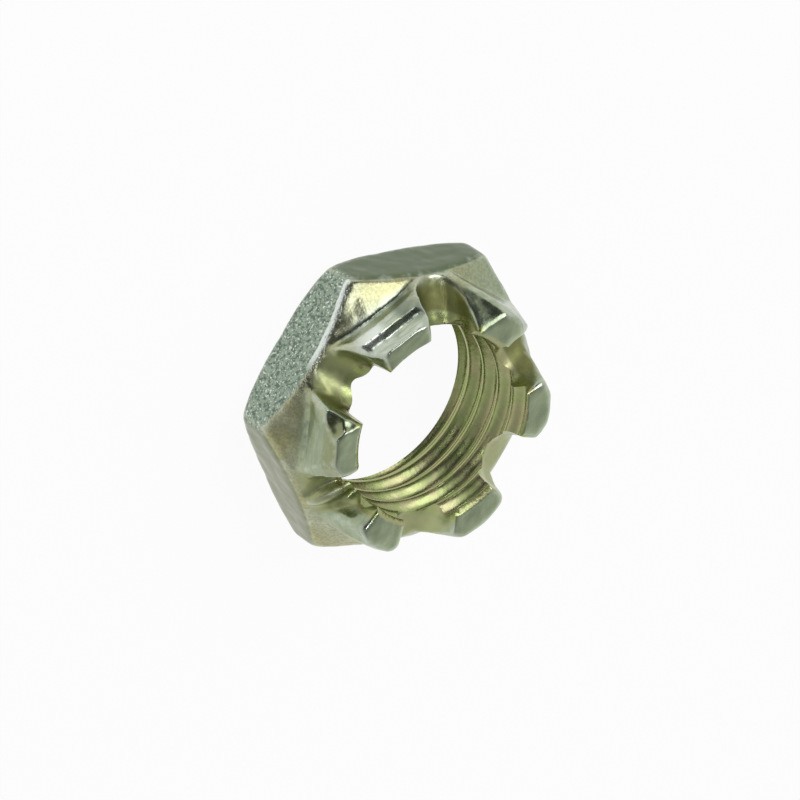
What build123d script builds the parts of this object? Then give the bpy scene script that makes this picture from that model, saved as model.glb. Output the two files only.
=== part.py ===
from build123d import *
import os
from math import cos, hypot, radians, sin, tan

# Thin castle nut, M18 x 2, cold forged in one piece.
# The bearing face lies on the XY plane and the thread axis is +Z, crown up.
# Corners of the hexagon, and the lugs above them, are at 0, 60, 120 ... degrees from +X.
# All lengths are in millimetres.

# Hexagon
sides = 6
across_flats = 24.0
height = 9.8
corner_height = 3.7  # where the cone starts, at a corner of the hexagon
cone_angle = 36.0  # slope of the cone from the corners up to the lugs
corner_rounding = 0.7
bearing_circle = 24.4  # diameter of the bearing face between the corner chamfers
bearing_chamfer_angle = 30.0

# Crown: six lugs, each with a flat flank that looks out over a corner of the hexagon
flank_distance = 11.45  # from the axis to the foot of a flank
flank_draft = 3.0  # inward lean of the flanks
lug_rounding = 1.1  # where a slot opens through a flank
crown_foot = 23.6  # diameter that the crown is turned to at its foot
foot_height = 5.0  # from here the turned outside leans in, up to the cap diameter
cap_diameter = 21.8  # at the tops of the lugs, before rounding
shoulder_rounding = 0.6

# Bore: the wall stands at the thread's minor diameter
minor_diameter = 15.9
bearing_countersink = 0.4
crown_countersink = 0.5

# Cotter pin slots, one over each wrench flat
slot_width = 4.5
slot_floor = 6.6  # height of the round floor where it enters the bore
slot_slope = 20.0  # fall of the floor, which meets the top edge of the wrench flat
slot_draft = 4.0  # outward lean of each side wall

flat_distance = across_flats / 2
corner_radius = flat_distance / cos(radians(30))
bearing_radius = bearing_circle / 2
bore_radius = minor_diameter / 2
first_flat = 180 / sides  # angle of the first flat and its slot, half a step from a corner

os.makedirs("parts", exist_ok=True)

# The tool that cuts one slot: a U with leaning walls, drawn on a plane that looks outward along
# the falling floor from the point where the floor enters the bore.
slot_radius = slot_width / 2
tangent_x = slot_radius * cos(radians(slot_draft))
tangent_y = slot_radius * (1 - sin(radians(slot_draft)))
mouth_x = tangent_x + (height - tangent_y) * tan(radians(slot_draft))
slot_plane = Plane(
    origin=(bore_radius / 2, 0, slot_floor + bore_radius / 2 * tan(radians(slot_slope))),
    x_dir=(0, 1, 0),
    z_dir=(cos(radians(slot_slope)), 0, -sin(radians(slot_slope))),
)

with BuildPart() as slot_tool:
    with BuildSketch(slot_plane):
        with BuildLine():
            ThreePointArc((-tangent_x, tangent_y), (0, 0), (tangent_x, tangent_y))
            Line((tangent_x, tangent_y), (mouth_x, height))
            Line((mouth_x, height), (-mouth_x, height))
            Line((-mouth_x, height), (-tangent_x, tangent_y))
        make_face()
    extrude(amount=corner_radius)

# Crown: a six-sided frustum whose sides stand over the corners of the wrench hexagon. Its slots
# are rounded where they open through the flanks, and its outside is turned, leaning in to the
# rounded tops of the lugs.
with BuildPart() as crown:
    with BuildSketch():
        RegularPolygon(flank_distance, sides, major_radius=False, rotation=first_flat)
    extrude(amount=height, taper=flank_draft)
    with PolarLocations(0, sides, start_angle=first_flat):
        add(slot_tool.part, mode=Mode.SUBTRACT)
    slot_rims = [
        edge
        for edge in crown.edges()
        if slot_floor - slot_radius < edge.center().Z < height - shoulder_rounding / 2
        and hypot(edge.center().X, edge.center().Y) > flank_distance - shoulder_rounding / 2
    ]
    fillet(slot_rims, radius=lug_rounding)
    with BuildSketch(Plane.XZ) as cap:
        with BuildLine():
            Polyline(
                (0, 0),
                (crown_foot / 2, 0),
                (crown_foot / 2, foot_height),
                (cap_diameter / 2, height),
                (0, height),
                close=True,
            )
        make_face()
        shoulder = cap.vertices().sort_by_distance((cap_diameter / 2, height, 0))[0]
        fillet(shoulder, radius=shoulder_rounding)
    revolve(axis=Axis.Z, mode=Mode.INTERSECT)

# Body: cone and corner chamfers turned, wrench flats cut.
chamfer_height = (corner_radius - bearing_radius) * tan(radians(bearing_chamfer_angle))
cone_top = corner_height + (corner_radius - bore_radius) * tan(radians(cone_angle))

with BuildPart() as body:
    with BuildSketch(Plane.XZ):
        with BuildLine():
            Polyline(
                (0, 0),
                (bearing_radius, 0),
                (corner_radius, chamfer_height),
                (corner_radius, corner_height),
                (bore_radius, cone_top),
                (0, cone_top),
                close=True,
            )
        make_face()
    revolve(axis=Axis.Z)
    with BuildSketch() as hexagon:
        RegularPolygon(flat_distance, sides, major_radius=False)
        fillet(hexagon.vertices(), radius=corner_rounding)
    extrude(amount=height, mode=Mode.INTERSECT)
    with PolarLocations(0, sides, start_angle=first_flat):
        add(slot_tool.part, mode=Mode.SUBTRACT)

# One piece: the crown stands on the body, and the bore runs through both.
with BuildPart() as castle_nut:
    add(body.part)
    add(crown.part)
    Hole(bore_radius)
    Cone(
        bore_radius + bearing_countersink,
        bore_radius,
        bearing_countersink,
        align=(Align.CENTER, Align.CENTER, Align.MIN),
        mode=Mode.SUBTRACT,
    )
    with Locations((0, 0, height)):
        Cone(
            bore_radius,
            bore_radius + crown_countersink,
            crown_countersink,
            align=(Align.CENTER, Align.CENTER, Align.MAX),
            mode=Mode.SUBTRACT,
        )

castle_nut.part.label = "castle_nut"
export_step(castle_nut.part, "parts/castle_nut.step")
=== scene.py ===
"""Castle nut: a thin hexagon nut with a crown of six lugs, cold forged and zinc plated."""

import math
from collections import namedtuple

import bmesh
import bpy
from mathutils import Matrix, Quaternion, Vector


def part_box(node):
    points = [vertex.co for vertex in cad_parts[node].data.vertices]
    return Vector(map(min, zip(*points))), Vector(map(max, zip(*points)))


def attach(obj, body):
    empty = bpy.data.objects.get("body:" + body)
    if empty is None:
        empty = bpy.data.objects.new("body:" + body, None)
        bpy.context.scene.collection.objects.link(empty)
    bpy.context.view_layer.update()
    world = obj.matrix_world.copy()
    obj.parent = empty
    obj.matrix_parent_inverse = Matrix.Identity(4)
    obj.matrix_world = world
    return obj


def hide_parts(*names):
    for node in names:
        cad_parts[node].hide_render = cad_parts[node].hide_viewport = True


bl_info = {
    "name": "Castle Nut",
    "version": (1, 0, 0),
    "blender": (4, 5, 0),
    "location": "View3D > Sidebar > Castle Nut",
    "description": "Models a zinc plated castle nut and its studio",
    "category": "Object",
}

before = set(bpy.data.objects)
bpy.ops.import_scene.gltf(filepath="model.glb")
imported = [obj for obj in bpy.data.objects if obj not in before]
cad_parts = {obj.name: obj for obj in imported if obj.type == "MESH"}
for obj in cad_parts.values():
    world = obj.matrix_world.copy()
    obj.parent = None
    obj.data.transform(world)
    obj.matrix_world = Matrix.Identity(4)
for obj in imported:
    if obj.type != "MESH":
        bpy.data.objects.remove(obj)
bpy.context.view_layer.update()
nut_low, nut_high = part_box("castle_nut")

SIDES = 6
NUT_HEIGHT = nut_high[2] - nut_low[2]
ACROSS_FLATS = nut_high[1] - nut_low[1]
CLEAR = 0.001  # how far a cutting tool stands past what it cuts
MM = 0.001

# Directions in degrees from +X: corners and lugs are at 0, 60, 120 ..., flats and slots half a
# step from them.
STEP = 360 // SIDES
SLOT_DIRECTIONS = [STEP // 2 + STEP * count for count in range(SIDES)]
SLOT_WIDTH = 0.0045
SLOT_FLOOR = 0.0066  # height of a slot's floor where it enters the bore
CHAMFER_ANGLE = math.radians(30)
MOST_TRIANGLES = 180000

# The six lugs differ. Each has the direction it looks in, the profile of its flank as points of
# (distance from the axis, height) from the cone up, and the outline of its end as points of
# (distance from the axis, sideways) going round counter-clockwise from the bore, in millimetres.
# From the end down it spreads outwards and sideways by these shares of the depth, and the rounding
# runs around its end.
Lug = namedtuple("Lug", "direction profile end spread_out spread_aside rounding")
PLAIN_FLANK = ((11.3, 5.9), (11.1, 9.8))
LUGS = (
    Lug(
        0,
        PLAIN_FLANK,
        ((7.5, -2.0), (9.0, -2.2), (9.9, -2.5), (11.05, -0.9), (10.85, 1.3), (9.9, 2.7), (7.5, 2.1)),
        spread_out=0.18,
        spread_aside=0.4,
        rounding=0.4,
    ),
    Lug(
        60,
        PLAIN_FLANK,
        ((7.5, -1.6), (8.7, -1.6), (10.0, -2.3), (11.0, -1.1), (11.2, 0.2), (9.5, 1.45), (7.5, 2.6)),
        spread_out=0.5,
        spread_aside=1.5,
        rounding=0.35,
    ),
    Lug(
        120,
        ((10.8, 5.8), (11.0, 6.9), (10.7, 9.8)),
        ((7.5, -2.2), (9.9, -2.45), (10.4, -1.1), (10.5, 1.5), (9.9, 2.0), (7.5, 2.05)),
        spread_out=0.4,
        spread_aside=0.6,
        rounding=0.15,
    ),
    Lug(
        180,
        ((10.87, 5.8), (10.83, 9.8)),
        ((7.5, -2.0), (10.2, -2.2), (10.7, -1.1), (10.55, 1.4), (9.6, 2.45), (7.5, 2.1)),
        spread_out=0.24,
        spread_aside=0.45,
        rounding=0.25,
    ),
    Lug(
        240,
        PLAIN_FLANK,
        ((7.5, -1.8), (8.8, -1.9), (10.1, -2.2), (11.2, -0.7), (11.0, 1.5), (10.1, 2.4), (7.5, 1.5)),
        spread_out=0.15,
        spread_aside=0.35,
        rounding=0.4,
    ),
    Lug(
        300,
        PLAIN_FLANK,
        ((7.5, -2.6), (9.8, -2.85), (10.8, -1.8), (11.0, -0.4), (10.7, 1.2), (10.1, 2.6), (7.5, 2.4)),
        spread_out=0.15,
        spread_aside=0.35,
        rounding=0.4,
    ),
)

# Blows that bruised the nut: direction, the place as distance from the axis, sideways and height,
# the azimuth and elevation that the bruise looks in, and the width and depth of the bruise. All
# lengths are in millimetres.
Blow = namedtuple("Blow", "direction reach aside height azimuth elevation width depth")
BLOWS = (
    Blow(180, 10.5, -2.6, 8.8, 152, 42, 3.2, 0.55),
    Blow(180, 9.5, -2.2, 9.5, 104, 52, 1.6, 0.25),
    Blow(120, 10.8, 2.1, 8.9, 138, 36, 2.2, 0.3),
    Blow(240, 10.8, -1.6, 8.2, 215, 20, 1.8, 0.15),
)

# Facets struck on the lugs: the lug, a point as distance from the axis, sideways and height, and
# the azimuth and elevation that the facet looks in. All lengths are in millimetres.
Facet = namedtuple("Facet", "direction reach aside height azimuth elevation")
FACETS = (Facet(60, 9.54, 1.35, 9.72, 118, 42),)

# The ledge that a blow pressed into the flank of the rubbed lug with the painted highlight: the lug,
# and the profile of the tool as points of (distance from the axis, height), in millimetres.
# The lug that is rubbed bare in streaks and carries a painted highlight.
RUBBED_PAINTED_HIGHLIGHT_LUG = 120
LEDGE = ((11.7, 6.8), (10.35, 8.5), (10.3, 11.0), (14.0, 11.0), (14.0, 6.8))

# The burr that the punch left in one slot: the slot's direction, and the place sideways and half of
# the width in metres.
Burr = namedtuple("Burr", "direction aside width")
BURR = Burr(210, 0.0009, 0.0007)


# ---------------------------------------------------------------- modelling by hand, in steps


def deselect():
    if bpy.context.mode != "OBJECT":
        bpy.ops.object.mode_set(mode="OBJECT")
    bpy.ops.object.select_all(action="DESELECT")


def make_active(piece):
    deselect()
    piece.select_set(True)
    bpy.context.view_layer.objects.active = piece


def place_in_mesh(piece):
    make_active(piece)
    bpy.ops.object.transform_apply(location=True, rotation=True, scale=True)


def pick(kind, test):
    """In edit mode, selects the vertices, edges or faces that pass the test."""
    mesh = bpy.context.edit_object.data
    bpy.ops.mesh.select_mode(type=kind)
    bpy.ops.mesh.select_all(action="DESELECT")
    parts = bmesh.from_edit_mesh(mesh)
    chosen = {"VERT": parts.verts, "EDGE": parts.edges, "FACE": parts.faces}[kind]
    for part in chosen:
        if test(part):
            part.select_set(True)
    parts.select_flush_mode()
    bmesh.update_edit_mesh(mesh)


def draw(name, points):
    """Draws a line of edges through the points and stays in edit mode with all of it selected."""
    deselect()
    bpy.ops.mesh.primitive_plane_add(size=CLEAR, location=(0, 0, 0))
    piece = bpy.context.object
    piece.name = name
    bpy.ops.object.mode_set(mode="EDIT")
    bpy.ops.mesh.select_mode(type="VERT")
    bpy.ops.mesh.select_all(action="SELECT")
    bpy.ops.mesh.merge(type="CENTER")
    bpy.ops.transform.translate(value=points[0])
    for here, there in zip(points, points[1:]):
        step = Vector(there) - Vector(here)
        bpy.ops.mesh.extrude_vertices_move(TRANSFORM_OT_translate={"value": step})
    bpy.ops.mesh.select_all(action="SELECT")
    return piece


def face_outwards():
    """In edit mode, turns all faces to look outwards and leaves the mode."""
    bpy.ops.mesh.select_all(action="SELECT")
    bpy.ops.mesh.normals_make_consistent(inside=False)
    deselect()


def point_to(piece, direction):
    """Turns a piece that was made along +X to a direction in degrees."""
    piece.rotation_euler.z = math.radians(direction)
    place_in_mesh(piece)


def turn(name, profile, steps=144):
    """Spins a profile of (radius, height) points about the thread axis into a closed solid."""
    piece = draw(name, [(radius, 0, height) for radius, height in profile])
    bpy.ops.mesh.spin(steps=steps, angle=math.tau, center=(0, 0, 0), axis=(0, 0, 1))
    bpy.ops.mesh.select_all(action="SELECT")
    bpy.ops.mesh.remove_doubles(threshold=1e-6)
    face_outwards()
    return piece


def combine(piece, tool, operation):
    """Joins, cuts or intersects piece with tool, which is then gone."""
    make_active(piece)
    step = piece.modifiers.new("Combine", "BOOLEAN")
    step.operation = operation
    step.solver = "MANIFOLD"
    step.object = tool
    bpy.ops.object.modifier_apply(modifier=step.name)
    bpy.data.objects.remove(tool, do_unlink=True)


def finish_modifier(piece, kind, **settings):
    make_active(piece)
    step = piece.modifiers.new(kind.title(), kind)
    for name, value in settings.items():
        setattr(step, name, value)
    bpy.ops.object.modifier_apply(modifier=step.name)


def toward(direction):
    around = math.radians(direction)
    return Vector((math.cos(around), math.sin(around), 0))


def aim(azimuth, elevation):
    around = math.radians(azimuth)
    upward = math.radians(elevation)
    return Vector(
        (
            math.cos(upward) * math.cos(around),
            math.cos(upward) * math.sin(around),
            math.sin(upward),
        )
    )


def place_on(direction, reach, aside, height):
    """A point given by its distance from the axis along a direction, sideways and its height."""
    place = toward(direction) * reach + toward(direction + 90) * aside
    place.z = height
    return place


# ---------------------------------------------------------------- the nut's stages


def forge_blank(size):
    """The hexagon, with the cone above its corners and the chamfers below them."""
    corner_radius = size.across_flats / 2 / math.cos(math.pi / SIDES)
    deselect()
    bpy.ops.mesh.primitive_cylinder_add(
        vertices=SIDES,
        radius=corner_radius,
        depth=NUT_HEIGHT + 2 * CLEAR,
        location=(0, 0, NUT_HEIGHT / 2),
        rotation=(0, 0, math.pi / SIDES),
    )
    blank = bpy.context.object
    blank.name = "castle_nut_detail"
    place_in_mesh(blank)
    bpy.ops.object.mode_set(mode="EDIT")
    pick("EDGE", lambda edge: abs(edge.verts[0].co.z - edge.verts[1].co.z) > NUT_HEIGHT / 2)
    bpy.ops.mesh.bevel(offset=size.corner_rounding, segments=4, affect="EDGES")
    deselect()
    outside = corner_radius + CLEAR / 2
    cone_rise = math.tan(size.cone_angle)
    chamfer_rise = math.tan(CHAMFER_ANGLE)
    inside = size.minor_diameter / 2 - CLEAR
    turned = turn(
        "turned",
        (
            (0, 0),
            (size.bearing_circle / 2, 0),
            (outside, (outside - size.bearing_circle / 2) * chamfer_rise),
            (outside, size.corner_height - (outside - corner_radius) * cone_rise),
            (inside, size.corner_height + (corner_radius - inside) * cone_rise),
            (0, size.corner_height + (corner_radius - inside) * cone_rise),
        ),
    )
    combine(blank, turned, "INTERSECT")
    finish_modifier(blank, "REMESH", mode="VOXEL", voxel_size=size.body_grain)
    finish_modifier(blank, "SMOOTH", factor=0.5, iterations=size.body_rounding)
    return blank


def slot_cutter(size, direction):
    """A U-shaped bar that runs outwards and falls, with walls that lean apart."""
    half = SLOT_WIDTH / 2
    lean = size.slot_draft
    well_inside = 0.8
    start = size.minor_diameter / 2 * well_inside
    rise = (size.minor_diameter / 2 - start) * math.tan(size.slot_slope)
    floor = SLOT_FLOOR + rise
    arc = []
    rounds = 14
    for step in range(rounds + 1):
        around = -(math.pi / 2 - lean) + step * (math.pi - 2 * lean) / rounds
        arc.append((start, half * math.sin(around), floor + half * (1 - math.cos(around))))
    top = floor + NUT_HEIGHT
    spread = arc[-1][1] + (top - arc[-1][2]) * math.tan(lean)
    outline = [(start, -spread, top)] + arc + [(start, spread, top)]
    cutter = draw("slot_cutter", outline)
    bpy.ops.mesh.edge_face_add()
    run = size.across_flats / 2 + 2 * CLEAR - start + CLEAR
    bpy.ops.mesh.extrude_region_move(
        TRANSFORM_OT_translate={"value": (run, 0, -run * math.tan(size.slot_slope))}
    )
    face_outwards()
    point_to(cutter, direction)
    return cutter


def slot_cutters(size):
    cutters = [slot_cutter(size, direction) for direction in SLOT_DIRECTIONS]
    deselect()
    for cutter in cutters:
        cutter.select_set(True)
    bpy.context.view_layer.objects.active = cutters[0]
    bpy.ops.object.join()
    return cutters[0]


def slice_off(point, outward):
    """In edit mode, cuts away what lies beyond a plane."""
    bpy.ops.mesh.select_all(action="SELECT")
    bpy.ops.mesh.bisect(plane_co=point, plane_no=outward, use_fill=True, clear_outer=True)


def lug_punch(lug):
    """A punch in the outline of a lug's end, rounded around the end and wider below."""
    depth = NUT_HEIGHT - 4 * CLEAR
    punch = draw("lug_punch", [(reach * MM, aside * MM, NUT_HEIGHT) for reach, aside in lug.end])
    bpy.ops.mesh.edge_face_add()
    bpy.ops.mesh.bevel(offset=lug.rounding * MM, segments=3, affect="VERTICES")
    bpy.ops.mesh.select_all(action="SELECT")
    bpy.ops.mesh.extrude_region_move(TRANSFORM_OT_translate={"value": (0, 0, -depth)})
    inner = lug.end[0][0] * MM
    outer = max(reach for reach, aside in lug.end) * MM
    half = max(aside for reach, aside in lug.end) * MM
    wider = (1 + lug.spread_out * depth / (outer - inner), 1 + lug.spread_aside * depth / half, 1)
    bpy.ops.transform.resize(value=wider, center_override=(inner, 0, NUT_HEIGHT - depth))
    nearly_top = NUT_HEIGHT - CLEAR / 10
    pick("EDGE", lambda edge: min(vertex.co.z for vertex in edge.verts) > nearly_top)
    bpy.ops.mesh.bevel(offset=lug.rounding * MM, segments=4, affect="EDGES")
    face_outwards()
    point_to(punch, lug.direction)
    for facet in FACETS:
        if facet.direction == lug.direction:
            combine(punch, facet_cutter(facet), "DIFFERENCE")
    return punch


def facet_cutter(facet):
    """A block that lies with one side on the facet."""
    outward = aim(facet.azimuth, facet.elevation)
    deselect()
    bpy.ops.mesh.primitive_cube_add(
        size=2 * NUT_HEIGHT,
        location=place_on(*facet[:4]) * MM + outward * NUT_HEIGHT,
        rotation=outward.to_track_quat("Z", "Y").to_euler(),
    )
    block = bpy.context.object
    place_in_mesh(block)
    return block


def strike(crown, blow):
    """Presses a round dent where a blow landed."""
    place = place_on(*blow[:4])
    radius = (blow.width**2 / 4 + blow.depth**2) / (2 * blow.depth)
    deselect()
    bpy.ops.mesh.primitive_ico_sphere_add(
        subdivisions=5,
        radius=radius * MM,
        location=(place + aim(blow.azimuth, blow.elevation) * (radius - blow.depth)) * MM,
    )
    hammer = bpy.context.object
    place_in_mesh(hammer)
    combine(crown, hammer, "DIFFERENCE")


def ledge_cutter(direction, profile):
    """A wedge that steps a flank in, from its profile of (distance from the axis, height)."""
    span = 2 * profile[0][0]
    side = [(reach * MM, -span / 2 * MM, height * MM) for reach, height in profile]
    wedge = draw("ledge_cutter", side)
    bpy.ops.mesh.edge_face_add()
    bpy.ops.mesh.extrude_region_move(TRANSFORM_OT_translate={"value": (0, span * MM, 0)})
    face_outwards()
    point_to(wedge, direction)
    return wedge


def slot_burr(size):
    """A ridge of metal that the slot's punch left along the floor of a slot."""
    from_flat = size.across_flats / 10
    half_length = size.across_flats / 11
    deselect()
    middle = size.across_flats / 2 - from_flat
    drop = (middle - size.minor_diameter / 2) * math.tan(size.slot_slope)
    height = SLOT_FLOOR - drop + BURR.aside**2 / SLOT_WIDTH
    bpy.ops.mesh.primitive_ico_sphere_add(subdivisions=4, radius=BURR.width)
    ridge = bpy.context.object
    ridge.scale.x = half_length / BURR.width
    ridge.location = (middle, BURR.aside, height)
    ridge.rotation_euler.y = size.slot_slope
    place_in_mesh(ridge)
    point_to(ridge, BURR.direction)
    return ridge


def forge_crown(size):
    """Six flanks, one for each lug, cut through by the slots, turned outside and rounded."""
    deselect()
    bpy.ops.mesh.primitive_cylinder_add(
        vertices=SIDES,
        radius=size.across_flats,
        depth=NUT_HEIGHT,
        location=(0, 0, NUT_HEIGHT / 2 + CLEAR),
    )
    crown = bpy.context.object
    crown.name = "crown"
    place_in_mesh(crown)
    bpy.ops.object.mode_set(mode="EDIT")
    for lug in LUGS:
        outward = toward(lug.direction)
        for (reach, low), (end, high) in zip(lug.profile, lug.profile[1:]):
            normal = outward * (high - low) + Vector((0, 0, reach - end))
            slice_off((outward * reach + Vector((0, 0, low))) * MM, normal.normalized())
    bpy.ops.mesh.select_all(action="SELECT")
    bpy.ops.mesh.convex_hull()
    face_outwards()
    combine(crown, slot_cutters(size), "DIFFERENCE")

    foot = size.crown_foot / 2
    rim = size.cap_diameter / 2
    rounding = size.shoulder_rounding
    shoulder = [
        (
            rim - rounding * (1 - math.cos(math.radians(around))),
            NUT_HEIGHT - rounding * (1 - math.sin(math.radians(around))),
        )
        for around in range(10, 91, 10)
    ]
    # The crown is sunk in the body, and is narrower where the body hides it.
    sunk = 2 * CLEAR
    inner = foot - CLEAR
    skirt = [(0, sunk), (inner, sunk), (inner, size.corner_height + CLEAR)]
    skirt.append((foot, size.corner_height + 1.5 * CLEAR))
    cap = turn("cap", skirt + shoulder + [(0, NUT_HEIGHT)])
    combine(crown, cap, "INTERSECT")
    collar = 4.5 * CLEAR
    outline = turn("outline", ((0, 0), (2 * foot, 0), (2 * foot, collar), (0, collar)))
    for lug in LUGS:
        combine(outline, lug_punch(lug), "UNION")
    combine(crown, outline, "INTERSECT")
    combine(crown, ledge_cutter(RUBBED_PAINTED_HIGHLIGHT_LUG, LEDGE), "DIFFERENCE")
    for blow in BLOWS:
        strike(crown, blow)
    return crown


def thread_tap(size):
    """A threaded rod that cuts the thread, with rounded crests. It ends well beyond the nut."""
    root = size.minor_diameter / 2
    depth = (size.thread_diameter - size.minor_diameter) / 2
    pitch = size.thread_pitch
    points = 16
    steps = 288
    turns_below = 3
    turns = math.ceil(NUT_HEIGHT / pitch) + 5
    profile = []
    for step in range(points + 1):
        share = (1 - math.cos(math.tau * step / points)) / 2
        height = size.thread_start + pitch * (step / points - turns_below)
        profile.append((root + depth * share, 0, height))
    tap = draw("thread_tap", profile)
    deselect()
    finish_modifier(
        tap,
        "SCREW",
        axis="Z",
        angle=math.tau,
        screw_offset=pitch,
        iterations=turns,
        steps=steps,
        render_steps=steps,
        use_merge_vertices=True,
        merge_threshold=1e-6,
    )
    bpy.ops.object.mode_set(mode="EDIT")
    bpy.ops.mesh.select_all(action="SELECT")
    bpy.ops.mesh.remove_doubles(threshold=1e-6)
    ends = (
        lambda edge: edge.is_boundary and edge.verts[0].co.z < NUT_HEIGHT / 2,
        lambda edge: edge.is_boundary and edge.verts[0].co.z > NUT_HEIGHT / 2,
    )
    for end in ends:
        pick("EDGE", end)
        bpy.ops.mesh.extrude_edges_move()
        bpy.ops.mesh.merge(type="CENTER")
    face_outwards()
    return tap


def countersinks(size):
    bore = size.minor_diameter / 2
    low = size.bearing_countersink
    high = size.crown_countersink
    bottom = turn(
        "bottom_sink",
        ((0, -CLEAR), (bore + low + CLEAR, -CLEAR), (bore - CLEAR, low + CLEAR), (0, low + CLEAR)),
    )
    top = turn(
        "top_sink",
        (
            (0, NUT_HEIGHT - high - CLEAR),
            (bore - CLEAR, NUT_HEIGHT - high - CLEAR),
            (bore + high + CLEAR, NUT_HEIGHT + CLEAR),
            (0, NUT_HEIGHT + CLEAR),
        ),
    )
    return bottom, top


def make_uneven(piece, depth, scale):
    """Pushes the surface in and out a little, mostly in, in soft swells of the given size."""
    mostly_in = 0.9
    clouds = bpy.data.textures.new("swells", "CLOUDS")
    clouds.noise_scale = scale
    clouds.noise_depth = 1
    finish_modifier(
        piece,
        "DISPLACE",
        texture=clouds,
        strength=depth,
        mid_level=mostly_in,
        texture_coords="LOCAL",
    )


def thin_out(piece, most):
    """Takes triangles away from a mesh that has more than the most it may have."""
    triangles = sum(len(face.vertices) - 2 for face in piece.data.polygons)
    if triangles > most:
        finish_modifier(piece, "DECIMATE", ratio=most / triangles)


def mark_edges(piece, iterations=50):
    """Stores how far each point stands out from a softened copy: edges above 0, hollows below."""
    make_active(piece)
    bpy.ops.object.duplicate()
    soft = bpy.context.object
    finish_modifier(soft, "SMOOTH", factor=0.5, iterations=iterations)
    edge = piece.data.attributes.new("edge", "FLOAT", "POINT")
    for vertex, soft_vertex in zip(piece.data.vertices, soft.data.vertices):
        edge.data[vertex.index].value = (vertex.co - soft_vertex.co).dot(vertex.normal)
    bpy.data.objects.remove(soft, do_unlink=True)


class CASTLENUT_OT_nut(bpy.types.Operator):
    """Forge, slot and thread the nut, and plate it with zinc"""

    bl_idname = "castle_nut.nut"
    bl_label = "Castle Nut"

    def execute(self, context):
        size = context.scene.castle_nut
        nut = forge_blank(size)
        combine(nut, slot_cutters(size), "DIFFERENCE")
        combine(nut, forge_crown(size), "UNION")
        combine(nut, slot_burr(size), "UNION")
        finish_modifier(nut, "REMESH", mode="VOXEL", voxel_size=size.edge_softness)
        finish_modifier(nut, "SMOOTH", factor=0.5, iterations=size.edge_rounding)
        make_uneven(nut, size.unevenness, size.swell_size)
        tap = thread_tap(size)
        for sink in countersinks(size):
            combine(tap, sink, "UNION")
        combine(nut, tap, "DIFFERENCE")
        finish_modifier(nut, "SMOOTH", factor=0.5, iterations=size.thread_rounding)
        thin_out(nut, MOST_TRIANGLES)
        nearly_full = NUT_HEIGHT * 0.98
        if max(vertex.co.z for vertex in nut.data.vertices) < nearly_full:
            raise RuntimeError("the crown is missing from the nut")
        mark_edges(nut)
        make_active(nut)
        bpy.ops.object.shade_smooth_by_angle(angle=size.sharp_angle)
        nut.data.materials.clear()
        nut.data.materials.append(zinc_plate(size))
        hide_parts("castle_nut")
        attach(nut, "root")
        return {"FINISHED"}


# ---------------------------------------------------------------- materials


def add_node(tree, kind, settings=None, **inputs):
    """Adds a node, sets its settings, and sets or links its inputs, named or numbered as i0, i1."""
    node = tree.nodes.new("ShaderNode" + kind)
    for name, value in (settings or {}).items():
        setattr(node, name, value)
    for name, value in inputs.items():
        numbered = name[0] == "i" and name[1:].isdigit()
        socket = node.inputs[int(name[1:]) if numbered else name.replace("_", " ")]
        if isinstance(value, bpy.types.NodeSocket):
            tree.links.new(value, socket)
        else:
            socket.default_value = value
    return node


def math_node(tree, operation, *values, clamp=False):
    inputs = {f"i{index}": value for index, value in enumerate(values)}
    return add_node(tree, "Math", {"operation": operation, "use_clamp": clamp}, **inputs).outputs[0]


def ramp_up(tree, value, begins, full):
    """0 up to where it begins, 1 from where it is full, and a smooth rise between."""
    node = add_node(tree, "MapRange", {"interpolation_type": "SMOOTHSTEP"}, Value=value)
    node.inputs["From Min"].default_value = begins
    node.inputs["From Max"].default_value = full
    return node.outputs["Result"]


def product(tree, *values):
    result = values[0]
    for value in values[1:]:
        result = math_node(tree, "MULTIPLY", result, value)
    return result


def plus(tree, value, share, amount):
    """The value, with the given amount of the share added."""
    return math_node(tree, "ADD", value, product(tree, share, amount))


def rest_of(tree, share):
    return math_node(tree, "SUBTRACT", 1.0, share)


def mix_color(tree, share, first, second):
    """The first colour where the share is 0, and the second where it is 1."""
    node = add_node(tree, "Mix", {"data_type": "RGBA"}, i0=share)
    for socket, value in ((node.inputs[6], first), (node.inputs[7], second)):
        if isinstance(value, bpy.types.NodeSocket):
            tree.links.new(value, socket)
        else:
            socket.default_value = (*value, 1)
    return node.outputs[2]


def noise(tree, place, scale, detail, roughness=0.5):
    return add_node(
        tree, "TexNoise", Vector=place, Scale=scale, Detail=detail, Roughness=roughness
    ).outputs["Fac"]


def new_group(name, inputs, outputs):
    """A node group with the named inputs and outputs, all of them numbers."""
    group = bpy.data.node_groups.new(name, "ShaderNodeTree")
    for side, labels in (("INPUT", inputs), ("OUTPUT", outputs)):
        for label in labels:
            group.interface.new_socket(label, in_out=side, socket_type="NodeSocketFloat")
    return group, group.nodes.new("NodeGroupInput"), group.nodes.new("NodeGroupOutput")


def place_group(tree, group, **inputs):
    return add_node(tree, "Group", {"node_tree": group}, **inputs)


def vector_node(tree, operation, spot, other, result):
    node = add_node(tree, "VectorMath", {"operation": operation}, i0=spot, i1=other)
    return node.outputs[result]


def along(tree, spot, direction):
    """Distance of a spot from the axis along a direction, below 0 on the other side."""
    return vector_node(tree, "DOT_PRODUCT", spot, toward(direction), "Value")


def on_side(tree, spot, side):
    """0 on the rest of the nut and 1 on one side of it."""
    return ramp_up(tree, along(tree, spot, side.direction), side.begins, side.full)


def near(tree, spot, place, begins, full):
    """0 beyond a distance from a place on the nut, and 1 within a smaller one."""
    distance = vector_node(tree, "DISTANCE", spot, place * MM, "Value")
    return ramp_up(tree, distance, begins, full)


def distance_from_axis(tree, place):
    around = vector_node(tree, "MULTIPLY", place, (1, 1, 0), "Vector")
    return add_node(tree, "VectorMath", {"operation": "LENGTH"}, i0=around).outputs["Value"]


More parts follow.
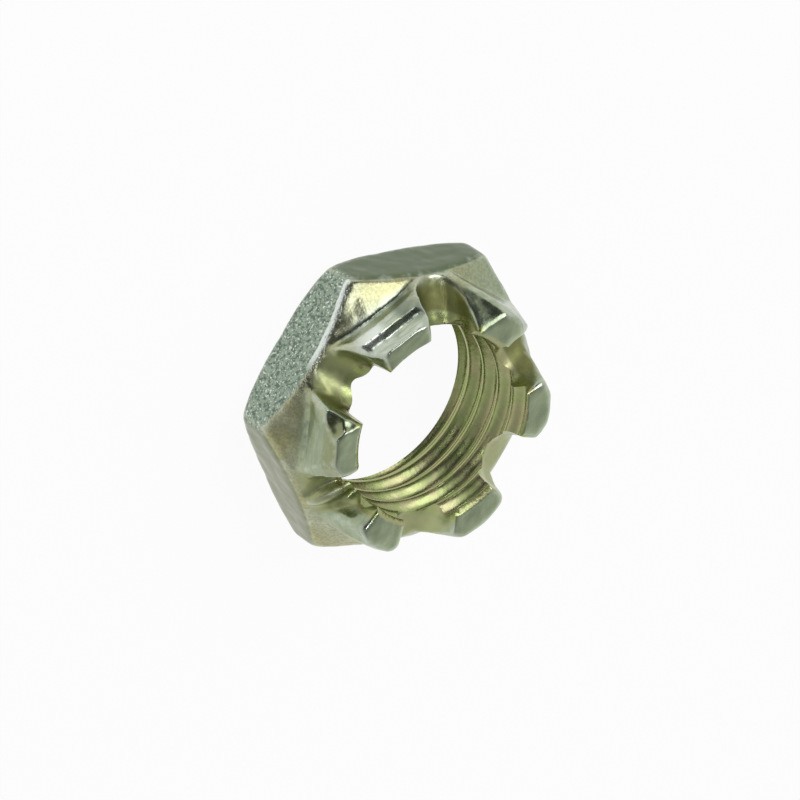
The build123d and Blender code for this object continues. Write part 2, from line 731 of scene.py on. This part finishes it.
def speckled(tree, place, pattern):
    """A pattern of noise, as a share from 0 to 1."""
    texture = noise(tree, place, pattern.scale, pattern.detail, pattern.roughness)
    return ramp_up(tree, texture, pattern.begins, pattern.full)


ZONES = ("Flats", "Ends", "Bore", "Slots", "Crown")
# Where each zone of the nut begins and where it is full, in metres.
FLATS_BEYOND = (-0.00026, -0.00014)  # outwards from the plane of a wrench flat
ENDS_BELOW = (0.0006, 0.0003)  # down from the tops of the lugs
BORE_BEYOND = (0.0013, 0.0009)  # outwards from the bore's wall
SLOT_ASIDE = (0.0025, 0.0022)  # sideways from the middle of a slot
CROWN_REACH = (0.0118, 0.0108)  # outwards from the axis
LEVEL = (0.9, 0.99)  # how straight up the end of a lug looks


def nut_zones_group():
    """Masks of the flats, the lug ends, the threaded bore, the slots and the crown, by place."""
    group, given, result = new_group(
        "Nut zones", ("Flat distance", "Bore radius", "Height"), ZONES
    )
    spot = add_node(group, "TexCoord")
    place = spot.outputs["Object"]
    height = add_node(group, "SeparateXYZ", Vector=place).outputs[2]
    flat_reach = 0.0
    slot_aside = ACROSS_FLATS
    for direction in SLOT_DIRECTIONS[: SIDES // 2]:
        reach = math_node(group, "ABSOLUTE", along(group, place, direction))
        aside = math_node(group, "ABSOLUTE", along(group, place, direction + 90))
        flat_reach = math_node(group, "MAXIMUM", flat_reach, reach)
        slot_aside = math_node(group, "MINIMUM", slot_aside, aside)
    past_flat = math_node(group, "SUBTRACT", flat_reach, given.outputs["Flat distance"])
    radius = distance_from_axis(group, place)
    facing = add_node(group, "SeparateXYZ", Vector=spot.outputs["Normal"]).outputs[2]
    below_top = math_node(group, "SUBTRACT", given.outputs["Height"], height)
    ends = product(group, ramp_up(group, facing, *LEVEL), ramp_up(group, below_top, *ENDS_BELOW))
    past_bore = math_node(group, "SUBTRACT", radius, given.outputs["Bore radius"])
    bore = product(group, ramp_up(group, past_bore, *BORE_BEYOND), rest_of(group, ends))
    outside = rest_of(group, bore)
    inner = ramp_up(group, radius, *CROWN_REACH)
    in_slot = ramp_up(group, slot_aside, *SLOT_ASIDE)
    zones = (
        ramp_up(group, past_flat, *FLATS_BEYOND),
        ends,
        bore,
        product(group, in_slot, outside, inner),
        product(group, inner, outside),
    )
    for name, zone in zip(ZONES, zones):
        group.links.new(zone, result.inputs[name])
    return group


# Patterns of the forging and the plating: the cells in a metre, the detail and roughness of the
# noise, and the values of it at which the pattern begins and is full.
Pattern = namedtuple("Pattern", "scale detail roughness begins full")
PITS = Pattern(3300, 2.0, 0.6, 0.46, 0.60)
PATCHES = Pattern(260, 1.0, 0.5, 0.36, 0.64)
STREAKS = Pattern(2600, 3.0, 0.6, 0.35, 0.65)
SPECKLES = Pattern(4600, 2.0, 0.6, 0.42, 0.60)
GOLDEN_PATCHES = Pattern(650, 2.0, 0.5, 0.4, 0.6)
# Painted glints: bright specks painted on the pitted flat as highlights.
PAINTED_GLINTS = Pattern(5200, 1.0, 0.5, 0.60, 0.68)
TARNISH = Pattern(900, 3.0, 0.6, 0.3, 0.7)


def forged_relief_group():
    """Height in metres of a forged and plated surface: soft swells, fine grain and pits."""
    group, given, result = new_group(
        "Forged relief", ("Swell", "Grain", "Pits"), ("Height", "Pit mask")
    )
    swell_height = 40e-6
    grain_height = 5e-6
    pit_depth = 14e-6
    spot = add_node(group, "TexCoord").outputs["Object"]
    pit_mask = speckled(group, spot, PITS)
    layers = (
        (noise(group, spot, 700, 3.0), given.outputs["Swell"], swell_height),
        (noise(group, spot, 4200, 3.0), given.outputs["Grain"], grain_height),
        (pit_mask, given.outputs["Pits"], -pit_depth),
    )
    height = 0.0
    for texture, share, amount in layers:
        height = math_node(group, "ADD", height, product(group, texture, share, amount))
    group.links.new(height, result.inputs["Height"])
    group.links.new(pit_mask, result.inputs["Pit mask"])
    return group


# Sides of the nut on which the plating changes, or where shade or a highlight is painted: a
# direction, and the distances from the axis along it at which the change begins and is full.
Side = namedtuple("Side", "direction begins full")
GOLDEN_SIDE = Side(170, -0.007, 0.004)
PITTED_FLAT = Side(150, 0.0112, 0.0118)
# Painted highlight along the rim of this flat.
PAINTED_HIGHLIGHT_RIM_FLAT = Side(150, 0.01155, 0.01168)
# Painted shade in the creases on this side.
PAINTED_CREASE_SHADE_SIDE = Side(150, 0.002, 0.007)
# Painted shade on one wall of the slot over the pitted flat.
PAINTED_SHADE_SLOT = Side(150, 0.006, 0.008)
PAINTED_SHADE_WALL = Side(240, 0.0006, 0.0018)
# The painted highlight on the rim fades out on this side.
RIM_FADES = Side(240, 0.0014, -0.0006)
# Painted shade in the slots on this side.
PAINTED_SLOT_SHADE_SIDE = Side(60, 0.002, 0.008)
# The rubbed lug, where bare zinc streaks and a painted highlight are laid.
RUBBED_PAINTED_HIGHLIGHT_SIDE = Side(RUBBED_PAINTED_HIGHLIGHT_LUG, 0.0096, 0.0104)
# Painted shade on the shoulder of this lug.
PAINTED_SHADE_LUG = Side(180, 0.0092, 0.0100)
# Painted shade: the wrench flats are painted darker towards +Y.
PAINTED_SHADE_FLATS = Side(90, -0.006, 0.0135)

# Where the plating and the painted light change by other measures in metres: where each change
# begins and is full.
# Worn edges, which also carry a painted highlight.
WORN_AND_HIGHLIGHT_EDGE = (0.00003, 0.00010)  # how far a spot stands out from the softened form
DEEP_HOLLOW = (-0.00003, -0.00012)
RAGGED = 0.00016  # how far the limits of worn edges and hollows wander
SANDY_BELOW = (0.0062, 0.0055)
SHOULDER_ABOVE = (0.0076, 0.0088)
# Where the painted highlight on the rim of the pitted flat begins and is full.
RIM_BELOW = (0.00048, 0.00038)  # down from the cone
# The painted highlight and the painted shade on the rubbed lug: distances from their middles at which
# they begin and are full, and the middles.
PAINTED_HIGHLIGHT_NEAR = (0.0022, 0.0007)
PAINTED_SHADE_NEAR = (0.0022, 0.0012)
PAINTED_HIGHLIGHT_SPOT = place_on(RUBBED_PAINTED_HIGHLIGHT_LUG, 10.9, 1.7, 7.2)
PAINTED_SHADE_SPOT = place_on(RUBBED_PAINTED_HIGHLIGHT_LUG, 10.9, -2.9, 7.2)

# What the parts of the plating share: a spot on the nut and its height, the zones, how far the
# spot stands out from the softened form, the wandering of ragged limits, and two patterns.
Masks = namedtuple(
    "Masks", "spot height flats ends bore slots crown outside pitted edge wander patches streaks"
)


def plating_masks(tree, size):
    """Where on the nut a spot lies, and the patterns that more than one part of it shows."""
    zones = place_group(
        tree,
        nut_zones_group(),
        Flat_distance=size.across_flats / 2,
        Bore_radius=size.minor_diameter / 2,
        Height=NUT_HEIGHT,
    )
    spot = add_node(tree, "TexCoord").outputs["Object"]
    wander = math_node(tree, "SUBTRACT", noise(tree, spot, 1500, 3.0), 0.5)
    wander = product(tree, wander, RAGGED)
    standing = add_node(tree, "Attribute", {"attribute_name": "edge"}).outputs["Fac"]
    drawn_out = vector_node(tree, "MULTIPLY", spot, (0.2, 0.2, 1), "Vector")
    return Masks(
        spot=spot,
        height=add_node(tree, "SeparateXYZ", Vector=spot).outputs[2],
        **{name.lower(): zones.outputs[name] for name in ZONES},
        outside=rest_of(tree, zones.outputs["Bore"]),
        pitted=on_side(tree, spot, PITTED_FLAT),
        edge=math_node(tree, "ADD", standing, wander),
        wander=wander,
        patches=speckled(tree, spot, PATCHES),
        streaks=speckled(tree, drawn_out, STREAKS),
    )


def plating_relief(tree, size, masks):
    """One flat is pitted and the others are smooth. The body is sandier than the crown."""
    other_flats = product(tree, masks.flats, rest_of(tree, masks.pitted))
    rough = rest_of(tree, product(tree, other_flats, size.flat_smoothness))
    sandy = ramp_up(tree, masks.height, *SANDY_BELOW)
    added_sand = 0.8
    bore_grain = 0.5
    grain = product(tree, rough, plus(tree, 1.0, sandy, added_sand))
    grain = product(tree, grain, plus(tree, bore_grain, masks.outside, 1 - bore_grain))
    return place_group(tree, forged_relief_group(), Swell=rough, Grain=grain, Pits=masks.pitted)


def cone_paint(tree, size, masks):
    """Gold, paler in patches, that turns to sage on one side, with dark speckles."""
    paint = mix_color(tree, masks.patches, size.gold_color, size.pale_gold_color)
    paint = mix_color(tree, on_side(tree, masks.spot, GOLDEN_SIDE), size.plate_color, paint)
    speckles = product(tree, speckled(tree, masks.spot, SPECKLES), size.speckles)
    return mix_color(tree, speckles, paint, size.stain_and_shade_color)


def lug_paint(tree, size, masks):
    stained = product(tree, masks.streaks, size.streaks)
    return mix_color(tree, stained, size.plate_color, size.stain_and_shade_color)


def rub_lug_and_paint_highlight(tree, size, masks, paint):
    """One lug is rubbed bare in streaks, with a painted highlight in one place and painted shade in
    another.
    """
    faint = 0.1
    streaky = 0.4
    # Rubbed streaks of bare zinc, with a painted highlight and a patch of painted shade.
    rubbed = product(tree, on_side(tree, masks.spot, RUBBED_PAINTED_HIGHLIGHT_SIDE), masks.crown)
    painted_highlight = near(tree, masks.spot, PAINTED_HIGHLIGHT_SPOT, *PAINTED_HIGHLIGHT_NEAR)
    painted_shade_near_spot = near(tree, masks.spot, PAINTED_SHADE_SPOT, *PAINTED_SHADE_NEAR)
    painted_shade = product(tree, painted_shade_near_spot, size.painted_shade)
    paint = mix_color(tree, product(tree, painted_shade, rubbed), paint, size.stain_and_shade_color)
    rubs_and_highlight = math_node(tree, "MAXIMUM", plus(tree, faint, masks.streaks, streaky), painted_highlight)
    rubs_and_highlight = product(tree, rubs_and_highlight, rest_of(tree, painted_shade))
    return mix_color(tree, product(tree, rubbed, rubs_and_highlight), paint, size.rubbed_zinc_and_painted_highlight_color)


def slot_paint(tree, size, masks):
    """Olive, with painted shade on one side and on one wall of the slot over the pitted flat."""
    painted_slot_shade = on_side(tree, masks.spot, PAINTED_SLOT_SHADE_SIDE)
    paint = mix_color(tree, painted_slot_shade, size.slot_color, size.hollow_film_and_shade_color)
    wall = on_side(tree, masks.spot, PAINTED_SHADE_WALL)
    slot = on_side(tree, masks.spot, PAINTED_SHADE_SLOT)
    painted_shade_on_wall = product(tree, wall, slot, size.painted_wall_shade)
    return mix_color(tree, painted_shade_on_wall, paint, size.hollow_film_and_shade_color)


def paint_shoulder_shade(tree, size, masks, paint):
    """Painted shade on the shoulder of one lug."""
    high = ramp_up(tree, masks.height, *SHOULDER_ABOVE)
    shoulder = product(tree, on_side(tree, masks.spot, PAINTED_SHADE_LUG), high, masks.crown)
    return mix_color(tree, product(tree, shoulder, size.painted_shoulder_shade), paint, size.hollow_film_and_shade_color)


def end_paint(tree, size, masks):
    patches = product(tree, masks.patches, size.end_patches)
    return mix_color(tree, patches, size.end_color, size.plate_color)


def bore_paint(tree, size, masks):
    golden = speckled(tree, masks.spot, GOLDEN_PATCHES)
    return mix_color(tree, golden, size.bore_color, size.gold_color)


def pool_and_shade_creases(tree, size, masks, paint):
    """The film pools in the hollows of all but the bore, with painted shade in the creases, darkest
    on one side.
    """
    hollow = ramp_up(tree, masks.edge, *DEEP_HOLLOW)
    # Painted shade: the creases on one side are painted darker still.
    stained = on_side(tree, masks.spot, PAINTED_CREASE_SHADE_SIDE)
    deep = mix_color(tree, stained, size.hollow_film_and_shade_color, size.stain_and_shade_color)
    return mix_color(tree, product(tree, hollow, masks.outside, size.pooling_and_crease_shade), paint, deep)


def flat_paint(tree, size, masks, pits):
    """Dull olive, painted darker towards +Y as shade. The pitted flat has pits and painted glints."""
    # Painted shade: the flats turn from the lit colour to a painted shaded copy towards +Y.
    dark = on_side(tree, masks.spot, PAINTED_SHADE_FLATS)
    paint = mix_color(tree, dark, size.flat_color, size.dark_flat_color)
    # Painted glints: bright specks painted in the worn colour as highlights.
    painted_glints = product(tree, speckled(tree, masks.spot, PAINTED_GLINTS), size.painted_glints)
    pits_and_painted_glints = mix_color(tree, pits, size.pitted_color, size.pit_color)
    pits_and_painted_glints = mix_color(tree, painted_glints, pits_and_painted_glints, size.worn_and_highlight_color)
    return mix_color(tree, masks.pitted, paint, pits_and_painted_glints)


def bare_zinc_and_painted_highlight(tree, size, masks):
    """The film is worn off the edges, with a painted highlight on them, strongest on the rim of the
    pitted flat.
    """
    worn_and_highlit = ramp_up(tree, masks.edge, *WORN_AND_HIGHLIGHT_EDGE)
    slope = math.tan(size.cone_angle)
    peak = size.corner_height + size.across_flats / 2 / math.cos(math.pi / SIDES) * slope
    below = plus(tree, masks.height, distance_from_axis(tree, masks.spot), slope)
    below = math_node(tree, "SUBTRACT", peak, below)
    rim = product(
        tree,
        on_side(tree, masks.spot, PAINTED_HIGHLIGHT_RIM_FLAT),
        masks.outside,
        ramp_up(tree, math_node(tree, "ADD", below, masks.wander), *RIM_BELOW),
        on_side(tree, masks.spot, RIM_FADES),
        size.painted_highlight_rim,
    )
    return math_node(tree, "MAXIMUM", product(tree, worn_and_highlit, masks.outside, size.worn_edges_and_highlight), rim)


def plating_color(tree, size, masks, pits):
    """Gold on the cone, sage on the lugs, and olive in the slots, the thread and on the flats."""
    cone = cone_paint(tree, size, masks)
    paint = mix_color(tree, masks.crown, cone, lug_paint(tree, size, masks))
    paint = rub_lug_and_paint_highlight(tree, size, masks, paint)
    paint = paint_shoulder_shade(tree, size, masks, paint)
    paint = mix_color(tree, masks.slots, paint, slot_paint(tree, size, masks))
    paint = mix_color(tree, masks.ends, paint, end_paint(tree, size, masks))
    paint = mix_color(tree, masks.bore, paint, bore_paint(tree, size, masks))
    paint = pool_and_shade_creases(tree, size, masks, paint)
    paint = mix_color(tree, masks.flats, paint, flat_paint(tree, size, masks, pits))
    return mix_color(tree, bare_zinc_and_painted_highlight(tree, size, masks), paint, size.worn_and_highlight_color)


def plating_roughness(tree, masks):
    """Shiny with duller tarnish, and duller still in the slots and the bore."""
    polish = add_node(tree, "MapRange", Value=speckled(tree, masks.spot, TARNISH))
    polish.inputs["To Min"].default_value = 0.14
    polish.inputs["To Max"].default_value = 0.26
    duller_slots = 0.22
    duller_bore = 0.08
    dull = plus(tree, product(tree, masks.slots, duller_slots), masks.bore, duller_bore)
    return math_node(tree, "ADD", polish.outputs["Result"], dull)


def zinc_plate(size):
    """Zinc with a gold to sage film that pools dark in the hollows and wears off the edges, with
    painted shade and painted highlights.
    """
    material = bpy.data.materials.new("zinc_plate")
    material.use_nodes = True
    tree = material.node_tree
    shader = tree.nodes["Principled BSDF"]
    shader.inputs["Metallic"].default_value = 1.0
    masks = plating_masks(tree, size)
    relief = plating_relief(tree, size, masks)
    bump = add_node(tree, "Bump", Height=relief.outputs["Height"], Distance=1.0)
    paint = plating_color(tree, size, masks, relief.outputs["Pit mask"])
    tree.links.new(bump.outputs["Normal"], shader.inputs["Normal"])
    tree.links.new(paint, shader.inputs["Base Color"])
    tree.links.new(plating_roughness(tree, masks), shader.inputs["Roughness"])
    return material


# ---------------------------------------------------------------- stage


# Soft boxes around the nut: the directions they hang in, in degrees, and their widths and lengths
# in metres.
SoftBox = namedtuple("SoftBox", "name azimuth elevation width length")
SOFT_BOXES = (
    SoftBox("key", 68, 52, 0.36, 0.36),
    SoftBox("glint", 52, 56, 0.06, 0.06),
    SoftBox("top", 146, 66, 0.08, 0.08),
    SoftBox("side", 101, 8, 0.1, 0.08),
)
BOX_DISTANCE = 0.6

# Dark boards that the metal mirrors: the directions they hang in, and the cosines of the angles
# from the middle of each where it begins and is full.
Board = namedtuple("Board", "azimuth elevation begins full")
BOARDS = (Board(142, 44, 0.90, 0.97), Board(103, 24, 0.86, 0.95))
BOARD_DARKNESS = 0.94
DIM_OVERHEAD = (0.3, 1.05)  # upward part of the direction where the room begins to dim and is dim

GLOW = 0.94  # how much of the floor, where it is seen, glows instead of being lit


def hang(box, power):
    """Hangs a soft box that looks at the nut."""
    light = bpy.data.lights.new(box.name, "AREA")
    light.shape = "RECTANGLE"
    light.size = box.width
    light.size_y = box.length
    light.energy = power
    lamp = bpy.data.objects.new(box.name, light)
    bpy.context.scene.collection.objects.link(lamp)
    direction = aim(box.azimuth, box.elevation)
    lamp.location = direction * BOX_DISTANCE
    lamp.rotation_mode = "QUATERNION"
    lamp.rotation_quaternion = direction.to_track_quat("Z", "Y")


def studio_world(view):
    """A plain room, pale near the floor and dim overhead, with dark boards on one side."""
    world = bpy.data.worlds.new("studio")
    bpy.context.scene.world = world
    world.use_nodes = True
    tree = world.node_tree
    background = tree.nodes["Background"]
    heading = add_node(tree, "TexCoord").outputs["Generated"]
    height = add_node(tree, "SeparateXYZ", Vector=heading).outputs[2]
    overhead = ramp_up(tree, height, *DIM_OVERHEAD)
    walls = mix_color(tree, overhead, view.wall_color, view.ceiling_color)
    dark = 0.0
    for board in BOARDS:
        middle = aim(board.azimuth, board.elevation)
        closeness = vector_node(tree, "DOT_PRODUCT", heading, middle, "Value")
        shadow = ramp_up(tree, closeness, board.begins, board.full)
        dark = math_node(tree, "MAXIMUM", dark, shadow)
    room = mix_color(tree, product(tree, dark, BOARD_DARKNESS), walls, view.board_color)
    tree.links.new(room, background.inputs["Color"])
    background.inputs["Strength"].default_value = 1.0


def pale_floor():
    """A pale sheet that glows where it is seen and is only lit where it is not."""
    material = bpy.data.materials.new("pale_floor")
    material.use_nodes = True
    tree = material.node_tree
    shader = tree.nodes["Principled BSDF"]
    shader.inputs["Base Color"].default_value = (0.9, 0.9, 0.9, 1)
    shader.inputs["Roughness"].default_value = 0.9
    shader.inputs["Specular IOR Level"].default_value = 0.1
    output = tree.nodes["Material Output"]
    rays = add_node(tree, "LightPath").outputs
    seen = math_node(tree, "ADD", rays["Is Camera Ray"], rays["Is Glossy Ray"], clamp=True)
    seen = math_node(tree, "ADD", seen, rays["Is Transmission Ray"], clamp=True)
    glow = add_node(tree, "Emission", Color=(1, 1, 1, 1), Strength=1.0)
    share = product(tree, seen, GLOW)
    mix = add_node(tree, "MixShader", i0=share, i1=shader.outputs[0], i2=glow.outputs[0])
    tree.links.new(mix.outputs[0], output.inputs["Surface"])
    return material


class CASTLENUT_OT_stage(bpy.types.Operator):
    """Lay the floor, hang the soft boxes and set up the camera"""

    bl_idname = "castle_nut.stage"
    bl_label = "Stage"

    def execute(self, context):
        view = context.scene.castle_nut_stage
        deselect()
        bpy.ops.mesh.primitive_plane_add(size=8, location=(0, 0, 0))
        floor = context.object
        floor.name = "floor"
        floor.data.materials.append(pale_floor())
        studio_world(view)
        for box in SOFT_BOXES:
            hang(box, getattr(view, box.name + "_power"))
        direction = aim(math.degrees(view.azimuth), math.degrees(view.elevation))
        data = bpy.data.cameras.new("camera")
        data.lens = view.lens
        camera = bpy.data.objects.new("camera", data)
        context.scene.collection.objects.link(camera)
        camera.location = Vector(view.look_at) + direction * view.distance
        camera.rotation_mode = "QUATERNION"
        camera.rotation_quaternion = direction.to_track_quat("Z", "Y") @ Quaternion(
            (0, 0, 1), view.roll
        )
        context.scene.camera = camera
        context.scene.view_settings.view_transform = "Standard"
        return {"FINISHED"}


# ---------------------------------------------------------------- settings and panel


def length(name, description, default):
    return bpy.props.FloatProperty(
        name=name, description=description, default=default, unit="LENGTH", precision=5
    )


def angle(name, description, degrees):
    return bpy.props.FloatProperty(
        name=name, description=description, default=math.radians(degrees), unit="ROTATION"
    )


def color(name, description, default):
    return bpy.props.FloatVectorProperty(
        name=name, description=description, default=default, subtype="COLOR", min=0, max=1
    )


def whole_number(name, description, default):
    return bpy.props.IntProperty(name=name, description=description, default=default)


def fraction(name, description, default):
    return bpy.props.FloatProperty(
        name=name, description=description, default=default, subtype="FACTOR", min=0, max=1
    )


def watts(name, description, default):
    return bpy.props.FloatProperty(
        name=name, description=description, default=default, unit="POWER"
    )


class CastleNutSettings(bpy.types.PropertyGroup):
    across_flats: length("Across flats", "Distance between two opposite wrench flats", ACROSS_FLATS)
    corner_rounding: length("Corner rounding", "How far the hexagon's corners are cut back", 0.0004)
    corner_height: length("Corner height", "Height of the hexagon at its corners", 0.0037)
    cone_angle: angle("Cone angle", "Slope from the corners up to the lugs", 36)
    bearing_circle: length("Bearing circle", "Diameter of the bearing face", 0.0244)
    body_grain: length("Body grain", "Size of the steps that the body is rounded in", 0.0002)
    body_rounding: whole_number("Body rounding", "How much the body's edges are rounded", 32)
    edge_rounding: whole_number("Edge rounding", "How much all edges and hollows are rounded", 10)
    unevenness: length("Unevenness", "Depth of the swells of the forging", 0.00010)
    swell_size: length("Swell size", "Size of the swells of the forging", 0.0016)
    crown_foot: length("Crown foot", "Diameter of the crown at its foot", 0.0240)
    cap_diameter: length("Cap diameter", "Diameter turned over the tops of the lugs", 0.0219)
    shoulder_rounding: length("Shoulder rounding", "Rounding around the tops of the lugs", 0.0005)
    slot_slope: angle("Slot slope", "Fall of the slot floors towards the outside", 20)
    slot_draft: angle("Slot draft", "Outward lean of the slot walls", 4)
    minor_diameter: length("Minor diameter", "Diameter over the crests of the thread", 0.0159)
    thread_diameter: length("Thread diameter", "Diameter over the roots of the thread", 0.0175)
    thread_pitch: length("Thread pitch", "Rise of the thread in one turn", 0.002)
    thread_start: length("Thread start", "Height where a thread crest crosses +X", 0.00205)
    thread_rounding: whole_number("Thread rounding", "How much the cut thread is rounded", 2)
    bearing_countersink: length("Bearing countersink", "Depth of the countersink below", 0.0006)
    crown_countersink: length("Crown countersink", "Depth of the countersink in the crown", 0.0005)
    edge_softness: length("Edge softness", "Size of the smallest forged detail", 0.00016)
    sharp_angle: angle("Sharp angle", "Edges sharper than this stay crisp", 50)
    plate_color: color("Plate", "Sage of the plated forging", (0.36, 0.42, 0.28))
    gold_color: color("Gold", "Gold of the cone and of patches in the bore", (0.42, 0.41, 0.22))
    pale_gold_color: color("Pale gold", "Paler patches of the cone", (0.48, 0.50, 0.35))
    # Real stains, also used for painted shade on the rubbed lug and in the creases.
    stain_and_shade_color: color("Stains", "Darker stains in the plating", (0.09, 0.12, 0.10))
    # Bare zinc on the rubbed lug, also used for its painted highlight.
    rubbed_zinc_and_painted_highlight_color: color("Rubbed", "Bare zinc on the rubbed lug", (0.80, 0.85, 0.78))
    slot_color: color("Slots", "Olive of the slots", (0.40, 0.43, 0.22))
    end_color: color("Lug ends", "Colour of the lug ends", (0.49, 0.58, 0.38))
    bore_color: color("Bore", "Colour of the thread", (0.36, 0.41, 0.18))
    # The film in the hollows, also used for painted shade in the slots, on one shoulder and in the
    # creases.
    hollow_film_and_shade_color: color("Hollows", "Where the film is thickest", (0.22, 0.23, 0.09))
    # Bare zinc on worn edges, also used for painted highlights on the edges, the rim and the glints.
    worn_and_highlight_color: color("Worn edges", "Bare zinc on rubbed edges", (0.80, 0.86, 0.80))
    # The lighter and the darker flat colours are a lit and a painted shaded copy of one finish.
    flat_color: color("Flats", "Colour of the lighter wrench flats", (0.235, 0.256, 0.161))
    dark_flat_color: color("Dark flats", "Colour of the darker wrench flats", (0.116, 0.151, 0.083))
    pitted_color: color("Pitted flat", "Colour of the pitted wrench flat", (0.30, 0.37, 0.29))
    pit_color: color("Pits", "Colour in the pits", (0.13, 0.18, 0.13))
    flat_smoothness: fraction("Flat smoothness", "How much smoother the other flats are", 0.85)
    end_patches: fraction("End patches", "Strength of the patches on the lug ends", 0.5)
    speckles: fraction("Speckles", "Darkness of the speckles on the cone", 0.25)
    streaks: fraction("Streaks", "Darkness of the streaks on the lugs", 0.25)
    # Darkness of the painted shade on the rubbed lug.
    painted_shade: fraction("Scuffs", "Darkness of the scuffs on the rubbed lug", 0.75)
    # Strength of the painted shade on one wall of a slot.
    painted_wall_shade: fraction("Shaded wall", "Thickness of the film on one wall of a slot", 0.7)
    # Strength of the painted shade on one shoulder.
    painted_shoulder_shade: fraction("Dark shoulder", "Thickness of the film on one shoulder", 0.55)
    # Strength of the film in the hollows and of the painted shade in the creases.
    pooling_and_crease_shade: fraction("Pooling", "Thickness of the film in the hollows", 0.7)
    # Brightness of the painted glints, which are painted highlights on the pitted flat.
    painted_glints: fraction("Glints", "Brightness of the glints on the pitted flat", 0.7)
    # How bare the edges are, and how strong their painted highlight is.
    worn_edges_and_highlight: fraction("Worn edges", "How bare the edges are", 0.25)
    # Strength of the painted highlight on the rim of the pitted flat.
    painted_highlight_rim: fraction("Worn rim", "How bare the rim of the pitted flat is", 0.9)


class CastleNutStageSettings(bpy.types.PropertyGroup):
    azimuth: angle("Azimuth", "Direction of the camera around the nut", 144.02)
    elevation: angle("Elevation", "Height of the camera above the floor", 45.14)
    roll: angle("Roll", "Turn of the camera about its own axis", 124.55)
    distance: length("Distance", "From the camera to the point it looks at", 0.714)
    look_at: bpy.props.FloatVectorProperty(
        name="Look at",
        description="The point in the middle of the view",
        default=(-0.00043, 0.00044, 0.00425),
        subtype="TRANSLATION",
        precision=5,
    )
    lens: bpy.props.FloatProperty(
        name="Lens", description="Focal length", default=400.4, unit="CAMERA"
    )
    key_power: watts("Key", "Power of the main soft box", 0.9)
    glint_power: watts("Glint", "Power of the small soft box beside the main one", 0.12)
    top_power: watts("Top", "Power of the small soft box overhead", 0.2)
    side_power: watts("Side", "Power of the low soft box", 0.1)
    wall_color: color("Walls", "Colour of the room near the floor", (0.85, 0.85, 0.84))
    ceiling_color: color("Ceiling", "Colour of the room overhead", (0.2, 0.21, 0.2))
    board_color: color("Boards", "Colour of the dark boards", (0.03, 0.035, 0.035))


class CASTLENUT_PT_panel(bpy.types.Panel):
    """Sizes, colours and the steps that build the nut"""

    bl_label = "Castle Nut"
    bl_idname = "CASTLENUT_PT_panel"
    bl_space_type = "VIEW_3D"
    bl_region_type = "UI"
    bl_category = "Castle Nut"

    def draw(self, context):
        for settings in (context.scene.castle_nut, context.scene.castle_nut_stage):
            box = self.layout.box()
            for name in settings.__annotations__:
                box.prop(settings, name)
        self.layout.operator(CASTLENUT_OT_nut.bl_idname)
        self.layout.operator(CASTLENUT_OT_stage.bl_idname)


CLASSES = (
    CastleNutSettings,
    CastleNutStageSettings,
    CASTLENUT_OT_nut,
    CASTLENUT_OT_stage,
    CASTLENUT_PT_panel,
)


def register():
    for item in CLASSES:
        bpy.utils.register_class(item)
    scene = bpy.types.Scene
    scene.castle_nut = bpy.props.PointerProperty(type=CastleNutSettings)
    scene.castle_nut_stage = bpy.props.PointerProperty(type=CastleNutStageSettings)


def unregister():
    del bpy.types.Scene.castle_nut_stage
    del bpy.types.Scene.castle_nut
    for item in reversed(CLASSES):
        bpy.utils.unregister_class(item)


def main():
    register()
    bpy.ops.castle_nut.nut()
    bpy.ops.castle_nut.stage()


if __name__ == "__main__":
    main()
